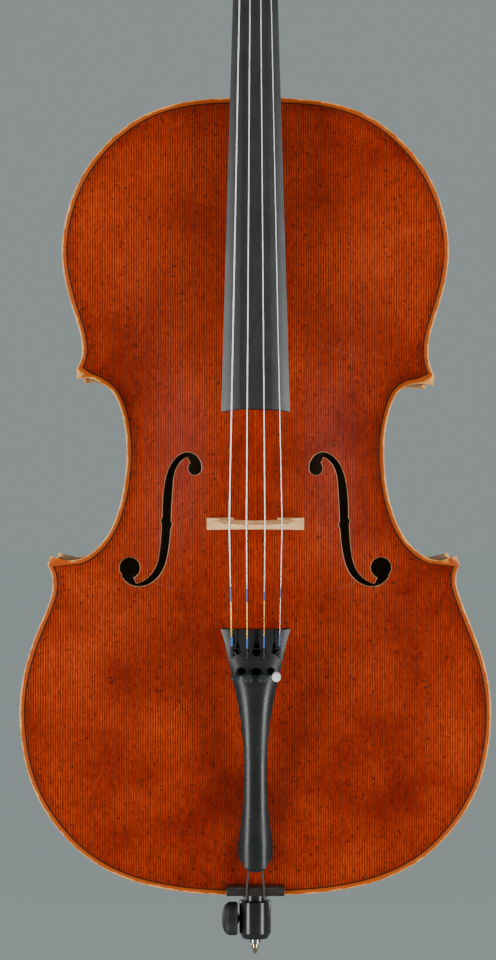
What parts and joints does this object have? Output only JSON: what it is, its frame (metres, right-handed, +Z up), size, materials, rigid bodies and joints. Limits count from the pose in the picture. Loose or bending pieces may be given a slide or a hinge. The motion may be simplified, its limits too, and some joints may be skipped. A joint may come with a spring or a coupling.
{
  "type": "cello",
  "caption": "Full-size four-string cello: arched hollow body, long fingerboard, bridge, tailpiece with fine tuners, pegs, scroll and sliding endpin.",
  "frame": {"origin": "on the endpin's axis, at the flat lower face of its collar, where a stand or the player's floor strap holds the cello", "axes": "+Z up along the strings, +X towards the treble (A string) side, the front faces -Y"},
  "size_m": [0.4436, 0.2657, 1.2897],
  "materials": {
    "varnished_spruce": "orange-red oil varnish over spruce, worn light at the edges",
    "varnished_maple": "orange-red varnish over flamed maple",
    "bare_spruce": "bare planed spruce and willow",
    "ebony": "satin black ebony",
    "ebony_pegs": "polished black ebony",
    "bridge_maple": "pale unvarnished maple",
    "black_composite": "satin black composite",
    "string_steel": "flat-wound steel with coloured silk at the ends",
    "black_cord": "black braided cord",
    "tuner_steel": "dark satin steel",
    "dark_knob": "smoke-black gloss plastic",
    "white_knob": "pale gloss plastic",
    "black_fitting": "satin black",
    "rod_steel": "steel rod",
    "tip_brass": "brass-coloured point"
  },
  "bodies": {
    "instrument": {"back_plate": "varnished_maple", "bass_bar": "bare_spruce", "bottom_block": "bare_spruce", "bridge": "bridge_maple", "corner_block_lower_bass": "bare_spruce", "corner_block_lower_treble": "bare_spruce", "corner_block_upper_bass": "bare_spruce", "corner_block_upper_treble": "bare_spruce", "endpin_collar": "black_fitting", "fingerboard": "ebony", "front_plate": "varnished_spruce", "lining_back_c_bass": "bare_spruce", "lining_back_c_treble": "bare_spruce", "lining_back_lower_bass": "bare_spruce", "lining_back_lower_treble": "bare_spruce", "lining_back_upper_bass": "bare_spruce", "lining_back_upper_treble": "bare_spruce", "lining_front_c_bass": "bare_spruce", "lining_front_c_treble": "bare_spruce", "lining_front_lower_bass": "bare_spruce", "lining_front_lower_treble": "bare_spruce", "lining_front_upper_bass": "bare_spruce", "lining_front_upper_treble": "bare_spruce", "neck": "varnished_maple", "nut": "ebony", "rib_c_bass": "varnished_maple", "rib_c_treble": "varnished_maple", "rib_lower_bass": "varnished_maple", "rib_lower_treble": "varnished_maple", "rib_upper_bass": "varnished_maple", "rib_upper_treble": "varnished_maple", "saddle": "ebony", "sound_post": "bare_spruce", "string_a": "string_steel", "string_c": "string_steel", "string_d": "string_steel", "string_g": "string_steel", "tail_wire": "black_cord", "tailpiece": "black_composite", "top_block": "bare_spruce", "tuner_axle": "tuner_steel"},
    "peg_c": {"peg_c": "ebony_pegs"},
    "peg_g": {"peg_g": "ebony_pegs"},
    "peg_d": {"peg_d": "ebony_pegs"},
    "peg_a": {"peg_a": "ebony_pegs"},
    "tuner_screw_c": {"tuner_screw_c": "tuner_steel"},
    "tuner_screw_g": {"tuner_screw_g": "tuner_steel"},
    "tuner_screw_d": {"tuner_screw_d": "tuner_steel"},
    "tuner_screw_a": {"tuner_screw_a": "tuner_steel"},
    "tuner_knob_c": {"tuner_knob_c": "dark_knob"},
    "tuner_knob_g": {"tuner_knob_g": "dark_knob"},
    "tuner_knob_d": {"tuner_knob_d": "dark_knob"},
    "tuner_knob_a": {"tuner_knob_a": "white_knob"},
    "lever_c": {"lever_c": "tuner_steel"},
    "lever_g": {"lever_g": "tuner_steel"},
    "lever_d": {"lever_d": "tuner_steel"},
    "lever_a": {"lever_a": "tuner_steel"},
    "endpin_rod": {"endpin_rod": "rod_steel", "endpin_tip": "tip_brass"},
    "thumbscrew": {"endpin_thumbscrew": "black_fitting"}
  },
  "joints": [
    {"name": "peg_c_turn", "type": "hinge", "parent": "instrument", "child": "peg_c", "pos_m": [0, -0.009, 1.1094], "axis": [1, 0, 0], "continuous": true},
    {"name": "peg_g_turn", "type": "hinge", "parent": "instrument", "child": "peg_g", "pos_m": [0, 0.0055, 1.1596], "axis": [1, 0, 0], "continuous": true},
    {"name": "peg_d_turn", "type": "hinge", "parent": "instrument", "child": "peg_d", "pos_m": [0, 0.0115, 1.185], "axis": [1, 0, 0], "continuous": true},
    {"name": "peg_a_turn", "type": "hinge", "parent": "instrument", "child": "peg_a", "pos_m": [0, -0.001, 1.1345], "axis": [1, 0, 0], "continuous": true},
    {"name": "tuner_c_travel", "type": "slide", "parent": "instrument", "child": "tuner_screw_c", "axis": [0, 0.9582, 0.2861], "range_m": [0, 0.0024]},
    {"name": "tuner_c_turn", "type": "hinge", "parent": "tuner_screw_c", "child": "tuner_knob_c", "pos_m": [-0.019, -0.13191, 0.26311], "axis": [0, 0.9582, 0.2861], "range_deg": [0, 1440]},
    {"name": "lever_c_tilt", "type": "hinge", "parent": "instrument", "child": "lever_c", "pos_m": [-0.0217, -0.1293, 0.28581], "axis": [1, 0, 0], "range_deg": [0, 6.52]},
    {"name": "tuner_g_travel", "type": "slide", "parent": "instrument", "child": "tuner_screw_g", "axis": [0, 0.9582, 0.2861], "range_m": [0, 0.0024]},
    {"name": "tuner_g_turn", "type": "hinge", "parent": "tuner_screw_g", "child": "tuner_knob_g", "pos_m": [-0.0064, -0.13533, 0.26209], "axis": [0, 0.9582, 0.2861], "range_deg": [0, 1440]},
    {"name": "lever_g_tilt", "type": "hinge", "parent": "instrument", "child": "lever_g", "pos_m": [-0.0076, -0.1293, 0.28581], "axis": [1, 0, 0], "range_deg": [0, 6.52]},
    {"name": "tuner_d_travel", "type": "slide", "parent": "instrument", "child": "tuner_screw_d", "axis": [0, 0.9582, 0.2861], "range_m": [0, 0.0024]},
    {"name": "tuner_d_turn", "type": "hinge", "parent": "tuner_screw_d", "child": "tuner_knob_d", "pos_m": [0.0064, -0.13533, 0.26209], "axis": [0, 0.9582, 0.2861], "range_deg": [0, 1440]},
    {"name": "lever_d_tilt", "type": "hinge", "parent": "instrument", "child": "lever_d", "pos_m": [0.0076, -0.1293, 0.28581], "axis": [1, 0, 0], "range_deg": [0, 6.52]},
    {"name": "tuner_a_travel", "type": "slide", "parent": "instrument", "child": "tuner_screw_a", "axis": [0, 0.9582, 0.2861], "range_m": [0, 0.0024]},
    {"name": "tuner_a_turn", "type": "hinge", "parent": "tuner_screw_a", "child": "tuner_knob_a", "pos_m": [0.019, -0.13191, 0.26311], "axis": [0, 0.9582, 0.2861], "range_deg": [0, 1440]},
    {"name": "lever_a_tilt", "type": "hinge", "parent": "instrument", "child": "lever_a", "pos_m": [0.0217, -0.1293, 0.28581], "axis": [1, 0, 0], "range_deg": [0, 6.52]},
    {"name": "endpin_slide", "type": "slide", "parent": "instrument", "child": "endpin_rod", "axis": [0, 0, -1], "range_m": [0, 0.36]},
    {"name": "thumbscrew_turn", "type": "hinge", "parent": "instrument", "child": "thumbscrew", "pos_m": [-0.024, 0, 0.0187], "axis": [-1, 0, 0], "continuous": true}
  ],
  "couplings": [
    {"joint": "tuner_c_turn", "follows": "tuner_c_travel", "rad_per_m": 10472},
    {"joint": "lever_c_tilt", "follows": "tuner_c_travel", "rad_per_m": 47.41},
    {"joint": "tuner_g_turn", "follows": "tuner_g_travel", "rad_per_m": 10472},
    {"joint": "lever_g_tilt", "follows": "tuner_g_travel", "rad_per_m": 47.41},
    {"joint": "tuner_d_turn", "follows": "tuner_d_travel", "rad_per_m": 10472},
    {"joint": "lever_d_tilt", "follows": "tuner_d_travel", "rad_per_m": 47.41},
    {"joint": "tuner_a_turn", "follows": "tuner_a_travel", "rad_per_m": 10472},
    {"joint": "lever_a_tilt", "follows": "tuner_a_travel", "rad_per_m": 47.41}
  ]
}
